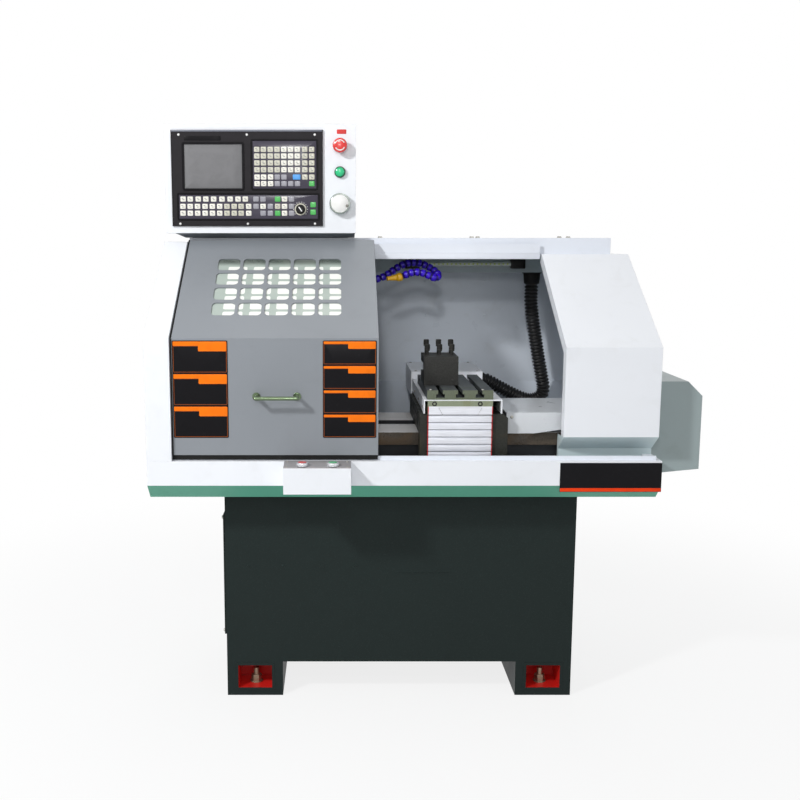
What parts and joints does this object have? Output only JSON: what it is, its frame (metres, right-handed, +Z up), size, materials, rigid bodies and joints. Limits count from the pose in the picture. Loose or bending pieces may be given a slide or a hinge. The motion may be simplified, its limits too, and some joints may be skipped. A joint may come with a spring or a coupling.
{
  "type": "bench lathe",
  "caption": "Compact enclosed turning machine on a sheet-steel stand, with a sliding door, a slant-front guard, a chuck, a T-slotted cross slide and a control console on the roof.",
  "frame": {"origin": "bottom centre of the whole machine's bounding box, on the floor", "axes": "+X along the spindle towards the tail end (the viewer's right in front of the machine), +Y from the operator towards the back, +Z up"},
  "size_m": [1.432, 0.9888, 1.55],
  "materials": {
    "paint_white": "satin",
    "paint_green": "satin",
    "paint_dark": "speckled satin",
    "paint_red": "satin",
    "paint_grey": "satin",
    "paint_interior": "satin",
    "paint_blue": "satin",
    "ground_steel": "ground",
    "dark_steel": "oiled",
    "casting": "oily",
    "bright_metal": "polished",
    "black_plastic": "matte",
    "red_plastic": "gloss",
    "green_plastic": "gloss",
    "clear_plastic": "clear, scuffed",
    "grey_plastic": "satin",
    "rubber": "matte",
    "lamp": "frosted",
    "hose": "segmented"
  },
  "bodies": {
    "frame": {"base_cabinet": "paint_dark", "foot_pockets": "paint_red", "levelling_bolts": "dark_steel", "access_panels": "paint_dark", "coolant_tank": "paint_interior", "coolant_pump": "paint_green", "splash_tray": "paint_white", "tray_skirt": "paint_green", "bed": "casting", "headstock": "paint_interior", "spindle_bearings": "ground_steel", "spindle_motor": "paint_blue", "drive_belt": "rubber", "left_housing": "paint_white", "right_housing": "paint_white", "back_wall": "paint_interior", "roof": "paint_white", "console_box": "paint_white", "console_neck": "black_plastic", "control_panel": "black_plastic", "work_lamp": "lamp", "conduit_cuff": "rubber", "conduit": "rubber", "door_rails": "ground_steel", "button_box": "paint_white", "z_motor": "dark_steel", "end_box": "paint_interior", "electrical_cabinet": "paint_white", "drive_panel": "paint_grey"},
    "door": {"door_panel": "paint_grey", "door_window": "clear_plastic", "door_handle": "bright_metal", "door_glides": "black_plastic"},
    "carriage": {"saddle": "casting", "way_cover": "paint_white", "x_motor": "dark_steel", "x_motor_cover": "paint_white", "apron": "ground_steel"},
    "cross_slide": {"slide_base": "casting", "slide_guard": "paint_white", "slide_table": "dark_steel", "tool_block": "dark_steel", "clamp_bolts": "dark_steel"},
    "z_screw": {"z_screw": "ground_steel"},
    "x_screw": {"x_screw": "ground_steel"},
    "spindle": {"spindle": "ground_steel", "spindle_pulley": "casting", "chuck_body": "ground_steel"},
    "jaw_1": {"jaw_1": "ground_steel"},
    "jaw_2": {"jaw_2": "ground_steel"},
    "jaw_3": {"jaw_3": "ground_steel"},
    "motor_rotor": {"motor_pulley": "casting"},
    "coolant_hose": {"coolant_hose": "hose"},
    "estop_button": {"estop_button": "red_plastic"},
    "start_button": {"start_button": "green_plastic"},
    "handwheel": {"handwheel": "grey_plastic"},
    "override_knob": {"override_knob": "black_plastic"},
    "stop_button": {"stop_button": "red_plastic"},
    "run_button": {"run_button": "green_plastic"},
    "cabinet_door": {"cabinet_door": "paint_white"}
  },
  "joints": [
    {"name": "door_slide", "type": "slide", "parent": "frame", "child": "door", "axis": [1, 0, 0], "range_m": [0, 0.47]},
    {"name": "z_travel", "type": "slide", "parent": "frame", "child": "carriage", "axis": [1, 0, 0], "range_m": [-0.17, 0.11], "deforming": ["conduit"]},
    {"name": "z_screw_turn", "type": "hinge", "parent": "frame", "child": "z_screw", "pos_m": [-0.066, -0.1694, 0.712], "axis": [1, 0, 0], "continuous": true},
    {"name": "x_travel", "type": "slide", "parent": "carriage", "child": "cross_slide", "axis": [0, 1, 0], "range_m": [-0.02, 0.07]},
    {"name": "x_screw_turn", "type": "hinge", "parent": "carriage", "child": "x_screw", "pos_m": [0.079, -0.2344, 0.775], "axis": [0, 1, 0], "continuous": true},
    {"name": "spindle_turn", "type": "hinge", "parent": "frame", "child": "spindle", "pos_m": [-0.466, -0.1694, 0.898], "axis": [1, 0, 0], "continuous": true},
    {"name": "motor_turn", "type": "hinge", "parent": "frame", "child": "motor_rotor", "pos_m": [-0.666, 0.1256, 0.8], "axis": [1, 0, 0], "continuous": true},
    {"name": "jaw_1_slide", "type": "slide", "parent": "spindle", "child": "jaw_1", "axis": [0, 0, 1], "range_m": [-0.01, 0.006]},
    {"name": "jaw_2_slide", "type": "slide", "parent": "spindle", "child": "jaw_2", "axis": [0, -0.866, -0.5], "range_m": [-0.01, 0.006]},
    {"name": "jaw_3_slide", "type": "slide", "parent": "spindle", "child": "jaw_3", "axis": [0, 0.866, -0.5], "range_m": [-0.01, 0.006]},
    {"name": "hose_swivel", "type": "hinge", "parent": "frame", "child": "coolant_hose", "pos_m": [-0.176, 0.0356, 1.18], "axis": [0, 0, 1], "range_deg": [-20, 20]},
    {"name": "estop_press", "type": "slide", "parent": "frame", "child": "estop_button", "axis": [0, 1, 0], "range_m": [0, 0.006]},
    {"name": "start_press", "type": "slide", "parent": "frame", "child": "start_button", "axis": [0, 1, 0], "range_m": [0, 0.004], "stiffness_N_per_m": 500, "springref_m": -0.002},
    {"name": "handwheel_turn", "type": "hinge", "parent": "frame", "child": "handwheel", "pos_m": [-0.228, -0.0844, 1.335], "axis": [0, 1, 0], "continuous": true},
    {"name": "override_turn", "type": "hinge", "parent": "frame", "child": "override_knob", "pos_m": [-0.33695, -0.0844, 1.32], "axis": [0, 1, 0], "range_deg": [-140, 140]},
    {"name": "stop_press", "type": "slide", "parent": "frame", "child": "stop_button", "axis": [0, 0, -1], "range_m": [0, 0.0025], "stiffness_N_per_m": 500, "springref_m": -0.002},
    {"name": "run_press", "type": "slide", "parent": "frame", "child": "run_button", "axis": [0, 0, -1], "range_m": [0, 0.0025], "stiffness_N_per_m": 500, "springref_m": -0.002},
    {"name": "cabinet_door_hinge", "type": "hinge", "parent": "frame", "child": "cabinet_door", "pos_m": [-0.5535, 0.4874, 0.9], "axis": [0, 0, 1], "range_deg": [0, 110]}
  ],
  "couplings": [
    {"joint": "z_screw_turn", "follows": "z_travel", "rad_per_m": 628.32},
    {"joint": "x_screw_turn", "follows": "x_travel", "rad_per_m": 1256.6},
    {"joint": "motor_turn", "follows": "spindle_turn", "ratio": 1.5556},
    {"joint": "jaw_2_slide", "follows": "jaw_1_slide", "ratio": 1},
    {"joint": "jaw_3_slide", "follows": "jaw_1_slide", "ratio": 1}
  ]
}
